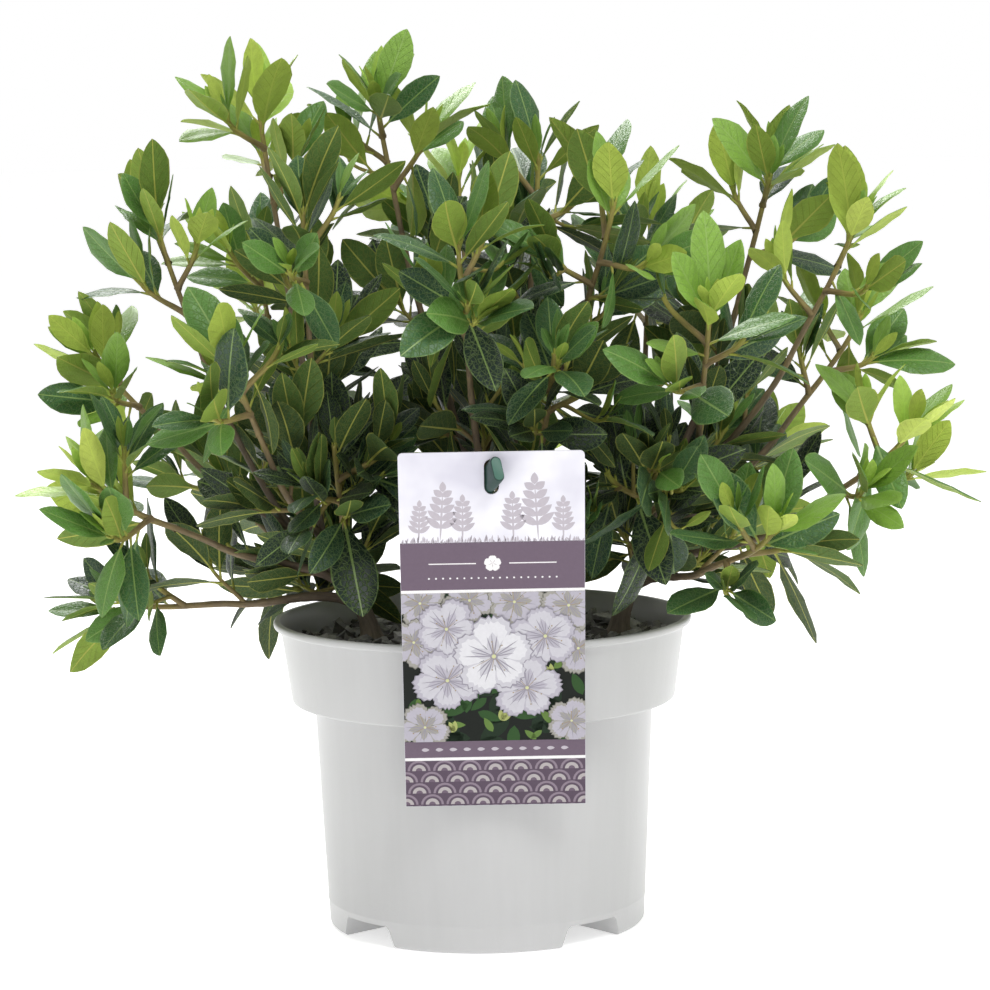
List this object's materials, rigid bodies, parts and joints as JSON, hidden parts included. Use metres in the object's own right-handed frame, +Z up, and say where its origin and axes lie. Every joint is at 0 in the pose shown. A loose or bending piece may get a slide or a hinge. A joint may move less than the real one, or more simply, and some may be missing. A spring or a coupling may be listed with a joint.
{
  "type": "potted evergreen azalea shrub",
  "caption": "Bushy evergreen azalea shrub on low-forking woody stems, in a round grey nursery pot with a plant label propped on a short stake.",
  "frame": {"origin": "centre of the pot's flat underside", "axes": "+Z up, +X to the right and -Y towards the front, where the label leans"},
  "size_m": [0.442, 0.3494, 0.4099],
  "materials": {
    "pot_plastic": "light grey satin moulded plastic",
    "potting_soil": "dark damp peat and bark chips",
    "label_card": "printed plastic card, satin",
    "stake_plastic": "dark green moulded plastic",
    "bark": "grey-brown bark, redder on young wood",
    "foliage": "leathery evergreen leaves, softly glossy"
  },
  "bodies": {
    "root": {"pot": "pot_plastic", "soil": "potting_soil", "label": "label_card", "label_stake": "stake_plastic", "trunk_left": "bark", "trunk_middle": "bark", "trunk_right": "bark", "bough_top_left": "bark", "bough_left_low": "bark", "bough_front_left_low": "bark", "bough_left_middle": "bark", "bough_left_upper": "bark", "bough_front_left": "bark", "bough_front_left_upper": "bark", "bough_back_left_low": "bark", "bough_back_left": "bark", "bough_top_middle_left": "bark", "bough_front_middle_left": "bark", "bough_front_middle": "bark", "bough_front_middle_upper": "bark", "bough_top_middle": "bark", "bough_front_right_upper": "bark", "bough_back_middle_low": "bark", "bough_back_middle": "bark", "bough_right_upper": "bark", "bough_top_right": "bark", "bough_front_right": "bark", "bough_right_middle": "bark", "bough_right_low": "bark", "bough_front_right_low": "bark", "bough_front_right_middle": "bark", "bough_back_right": "bark", "bough_back_right_low": "bark", "foliage_top_left": "foliage", "foliage_left_low": "foliage", "foliage_front_left_low": "foliage", "foliage_left_middle": "foliage", "foliage_left_upper": "foliage", "foliage_front_left": "foliage", "foliage_front_left_upper": "foliage", "foliage_back_left_low": "foliage", "foliage_back_left": "foliage", "foliage_top_middle_left": "foliage", "foliage_front_middle_left": "foliage", "foliage_front_middle": "foliage", "foliage_front_middle_upper": "foliage", "foliage_top_middle": "foliage", "foliage_front_right_upper": "foliage", "foliage_back_middle_low": "foliage", "foliage_back_middle": "foliage", "foliage_right_upper": "foliage", "foliage_top_right": "foliage", "foliage_front_right": "foliage", "foliage_right_middle": "foliage", "foliage_right_low": "foliage", "foliage_front_right_low": "foliage", "foliage_front_right_middle": "foliage", "foliage_back_right": "foliage", "foliage_back_right_low": "foliage"}
  },
  "joints": []
}
